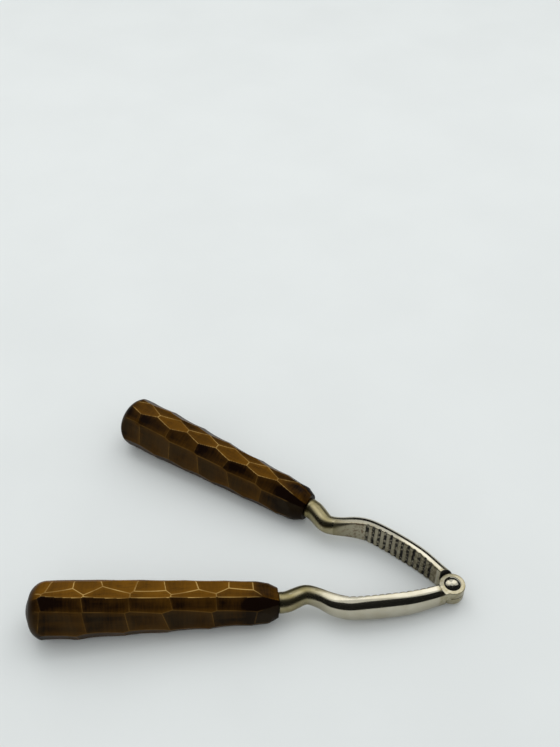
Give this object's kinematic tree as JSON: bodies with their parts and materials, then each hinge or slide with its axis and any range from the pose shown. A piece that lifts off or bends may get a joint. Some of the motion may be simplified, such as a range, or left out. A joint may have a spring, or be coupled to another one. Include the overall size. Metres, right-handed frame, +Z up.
{
  "type": "nutcracker",
  "caption": "Lever nutcracker: identical steel levers with toothed jaws, lapped on one rivet, one turned over, each with a hand-faceted wooden grip.",
  "frame": {"origin": "under the middle of the tool's box, on the plane that the flat facets of the two grips rest on", "axes": "+X from the butts of the grips towards the hinge, +Y towards grip B, +Z up along the hinge"},
  "size_m": [0.1776, 0.1412, 0.0238],
  "materials": {
    "lever_steel": "nickel plate, polished, worn to a warm grey at the kink and the shanks",
    "rivet_steel": "polished, pale nickel",
    "grip_wood": "dark stained wood, glossy lacquer, golden where the ridges are rubbed"
  },
  "bodies": {
    "side_a": {"lever_a": "lever_steel", "rivet": "rivet_steel", "grip_a": "grip_wood"},
    "side_b": {"lever_b": "lever_steel", "grip_b": "grip_wood"}
  },
  "joints": [
    {"name": "jaw_hinge", "type": "hinge", "parent": "side_a", "child": "side_b", "pos_m": [0.08319, 0, 0.01152], "axis": [0, 0, -1], "range_deg": [-29.5, 90]}
  ]
}
